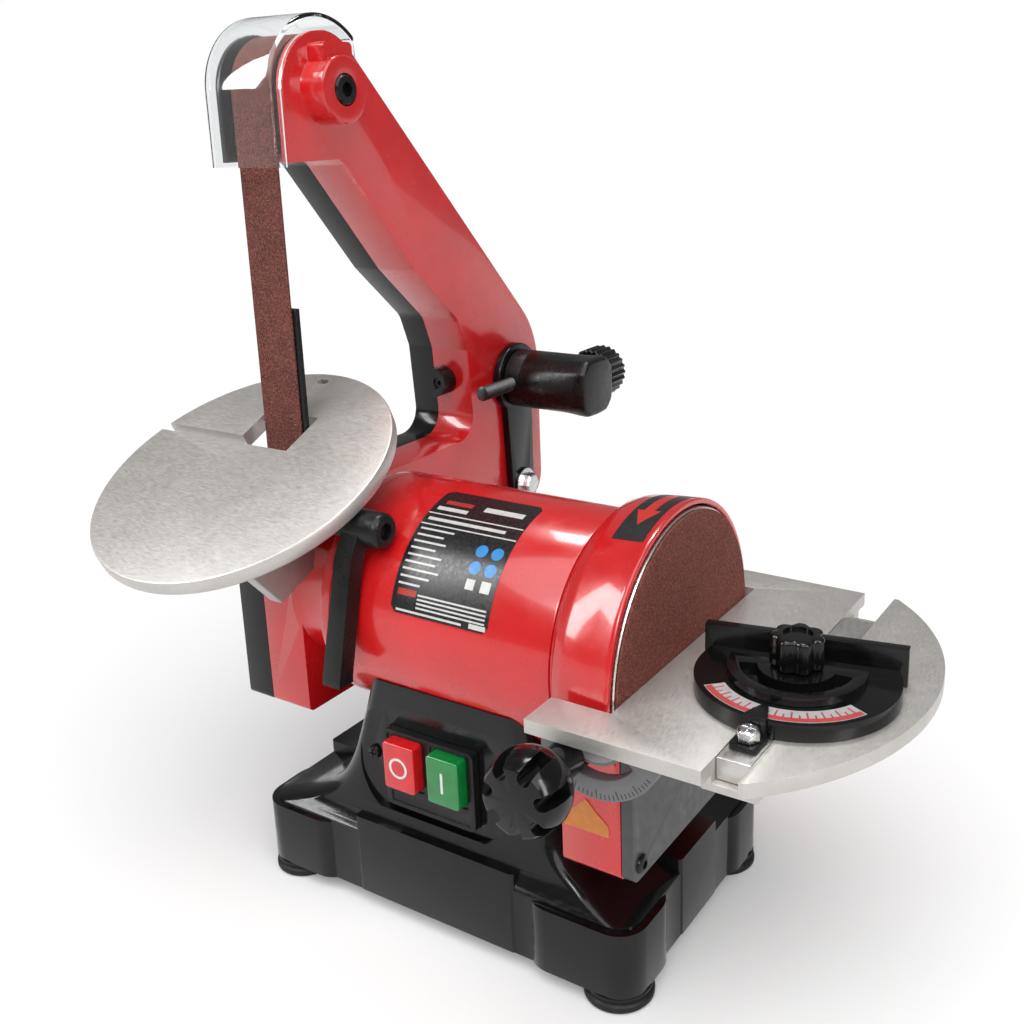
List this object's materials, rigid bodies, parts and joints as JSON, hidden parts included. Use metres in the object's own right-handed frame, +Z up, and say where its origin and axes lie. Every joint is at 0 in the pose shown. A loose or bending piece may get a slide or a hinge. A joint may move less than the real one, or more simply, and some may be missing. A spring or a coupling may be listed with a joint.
{
  "type": "belt disc sander",
  "caption": "Bench sander with an upright abrasive belt and round tilting table on the left, and a disc with a half-round tilting table and mitre gauge on the right.",
  "frame": {"origin": "middle of the footprint's bounding box, at the underside of the feet", "axes": "+X from the belt towards the disc, along the motor shaft; -Y towards the operator and the switch; +Z up"},
  "size_m": [0.4, 0.3164, 0.424],
  "materials": {
    "base_housing": "gloss black",
    "bottom_plate": "grey zinc-coated sheet",
    "foot_front_left": "matt black rubber",
    "foot_front_right": "matt black rubber",
    "foot_rear_left": "matt black rubber",
    "foot_rear_right": "matt black rubber",
    "cable_gland": "satin black",
    "run_capacitor": "grey plastic case",
    "switch_body": "satin black",
    "switch_screw_left": "zinc-plated steel",
    "switch_screw_right": "zinc-plated steel",
    "motor_housing": "gloss red enamel over cast aluminium",
    "motor_stator": "zinc-plated steel",
    "motor_end_plate": "machined cast aluminium",
    "bearing_left": "zinc-plated steel",
    "bearing_right": "zinc-plated steel",
    "disc_housing": "gloss red enamel over cast aluminium",
    "disc_cover_plate": "dark grey satin powder coat",
    "cover_plate_screw": "zinc-plated steel",
    "belt_frame": "gloss red enamel over cast aluminium",
    "side_cover": "gloss black",
    "cover_screw_upper": "zinc-plated steel",
    "cover_screw_rear": "zinc-plated steel",
    "cover_screw_lower": "zinc-plated steel",
    "top_guard": "clear polycarbonate",
    "guard_screw": "satin black",
    "top_wheel_bolt": "satin black",
    "platen": "satin black",
    "belt_table_bracket": "satin black",
    "belt_table_bolt": "zinc-plated steel",
    "arm_pivot_bolt": "zinc-plated steel",
    "sanding_belt": "brown aluminium-oxide abrasive on cloth",
    "rear_clamp_bolt": "zinc-plated steel",
    "motor_shaft": "zinc-plated steel",
    "motor_rotor": "zinc-plated steel",
    "drive_wheel": "matt black rubber",
    "disc_plate": "machined cast aluminium",
    "abrasive_disc": "brown aluminium-oxide abrasive on cloth",
    "top_wheel": "crowned black nylon",
    "tension_arm": "gloss black paint over steel strip",
    "tension_axle": "zinc-plated steel",
    "tension_grip": "satin black",
    "stop_screw": "zinc-plated steel",
    "tension_wheel": "crowned black nylon",
    "tracking_knob": "gloss black moulding",
    "stop_button": "gloss red",
    "start_button": "gloss green",
    "disc_table": "machined cast aluminium",
    "tilt_sector_front": "dark grey satin powder coat",
    "tilt_sector_rear": "dark grey satin powder coat",
    "lock_knob": "gloss black moulding",
    "lock_bolt": "zinc-plated steel",
    "miter_bar": "machined cast aluminium",
    "miter_pointer": "satin black",
    "miter_pointer_screw": "zinc-plated steel",
    "miter_head": "satin black",
    "miter_knob": "gloss black moulding",
    "belt_table": "machined cast aluminium",
    "belt_table_rib": "machined cast aluminium",
    "table_lever": "satin black"
  },
  "bodies": {
    "machine": {"base_housing": "base_housing", "bottom_plate": "bottom_plate", "foot_front_left": "foot_front_left", "foot_front_right": "foot_front_right", "foot_rear_left": "foot_rear_left", "foot_rear_right": "foot_rear_right", "cable_gland": "cable_gland", "run_capacitor": "run_capacitor", "switch_body": "switch_body", "switch_screw_left": "switch_screw_left", "switch_screw_right": "switch_screw_right", "motor_housing": "motor_housing", "motor_stator": "motor_stator", "motor_end_plate": "motor_end_plate", "bearing_left": "bearing_left", "bearing_right": "bearing_right", "disc_housing": "disc_housing", "disc_cover_plate": "disc_cover_plate", "cover_plate_screw": "cover_plate_screw", "belt_frame": "belt_frame", "side_cover": "side_cover", "cover_screw_upper": "cover_screw_upper", "cover_screw_rear": "cover_screw_rear", "cover_screw_lower": "cover_screw_lower", "top_guard": "top_guard", "guard_screw": "guard_screw", "top_wheel_bolt": "top_wheel_bolt", "platen": "platen", "belt_table_bracket": "belt_table_bracket", "belt_table_bolt": "belt_table_bolt", "arm_pivot_bolt": "arm_pivot_bolt", "sanding_belt": "sanding_belt", "rear_clamp_bolt": "rear_clamp_bolt"},
    "spindle": {"motor_shaft": "motor_shaft", "motor_rotor": "motor_rotor", "drive_wheel": "drive_wheel", "disc_plate": "disc_plate", "abrasive_disc": "abrasive_disc"},
    "top_wheel": {"top_wheel": "top_wheel"},
    "tension_lever": {"tension_arm": "tension_arm", "tension_axle": "tension_axle", "tension_grip": "tension_grip", "stop_screw": "stop_screw"},
    "tension_wheel": {"tension_wheel": "tension_wheel"},
    "tracking_knob": {"tracking_knob": "tracking_knob"},
    "stop_button": {"stop_button": "stop_button"},
    "start_button": {"start_button": "start_button"},
    "disc_table": {"disc_table": "disc_table", "tilt_sector_front": "tilt_sector_front", "tilt_sector_rear": "tilt_sector_rear"},
    "lock_knob": {"lock_knob": "lock_knob", "lock_bolt": "lock_bolt"},
    "miter_bar": {"miter_bar": "miter_bar", "miter_pointer": "miter_pointer", "miter_pointer_screw": "miter_pointer_screw"},
    "miter_head": {"miter_head": "miter_head"},
    "miter_knob": {"miter_knob": "miter_knob"},
    "belt_table": {"belt_table": "belt_table", "belt_table_rib": "belt_table_rib"},
    "table_lever": {"table_lever": "table_lever"}
  },
  "joints": [
    {"name": "motor_spin", "type": "hinge", "parent": "machine", "child": "spindle", "pos_m": [0.093, -0.0362, 0.148], "axis": [1, 0, 0], "continuous": true},
    {"name": "top_wheel_spin", "type": "hinge", "parent": "machine", "child": "top_wheel", "pos_m": [-0.1225, -0.0302, 0.389], "axis": [1, 0, 0], "continuous": true},
    {"name": "tension_arm_swing", "type": "hinge", "parent": "machine", "child": "tension_lever", "pos_m": [-0.1007, 0.1168, 0.153], "axis": [1, 0, 0], "range_deg": [0, 10]},
    {"name": "tension_wheel_spin", "type": "hinge", "parent": "tension_lever", "child": "tension_wheel", "pos_m": [-0.1225, 0.1152, 0.2206], "axis": [1, 0, 0], "continuous": true},
    {"name": "tracking_knob_turn", "type": "hinge", "parent": "tension_lever", "child": "tracking_knob", "pos_m": [-0.0605, 0.1352, 0.2206], "axis": [0, 1, 0], "range_deg": [-180, 180]},
    {"name": "stop_press", "type": "slide", "parent": "machine", "child": "stop_button", "axis": [0, 1, 0], "range_m": [0, 0.003], "stiffness_N_per_m": 300},
    {"name": "start_press", "type": "slide", "parent": "machine", "child": "start_button", "axis": [0, 1, 0], "range_m": [0, 0.003], "stiffness_N_per_m": 300},
    {"name": "disc_table_tilt", "type": "hinge", "parent": "machine", "child": "disc_table", "pos_m": [0.0945, -0.0362, 0.151], "axis": [0, 1, 0], "range_deg": [0, 45]},
    {"name": "lock_knob_turn", "type": "hinge", "parent": "machine", "child": "lock_knob", "pos_m": [0.0834, -0.1202, 0.1367], "axis": [0, 1, 0], "range_deg": [-180, 180]},
    {"name": "miter_slide", "type": "slide", "parent": "disc_table", "child": "miter_bar", "axis": [0, 1, 0], "range_m": [-0.06, 0.07]},
    {"name": "miter_turn", "type": "hinge", "parent": "miter_bar", "child": "miter_head", "pos_m": [0.1497, -0.0532, 0.1513], "axis": [0, 0, 1], "range_deg": [-71, 49]},
    {"name": "miter_knob_turn", "type": "hinge", "parent": "miter_bar", "child": "miter_knob", "pos_m": [0.1497, -0.0532, 0.162], "axis": [0, 0, 1], "range_deg": [-180, 180]},
    {"name": "belt_table_tilt", "type": "hinge", "parent": "machine", "child": "belt_table", "pos_m": [-0.1225, -0.0832, 0.196], "axis": [1, 0, 0], "range_deg": [-24, 5]},
    {"name": "table_lever_turn", "type": "hinge", "parent": "machine", "child": "table_lever", "pos_m": [-0.051, -0.0832, 0.196], "axis": [1, 0, 0], "range_deg": [-45, 0]}
  ],
  "couplings": [
    {"joint": "top_wheel_spin", "follows": "motor_spin", "ratio": 0.76517},
    {"joint": "tension_wheel_spin", "follows": "motor_spin", "ratio": 1.2181}
  ]
}
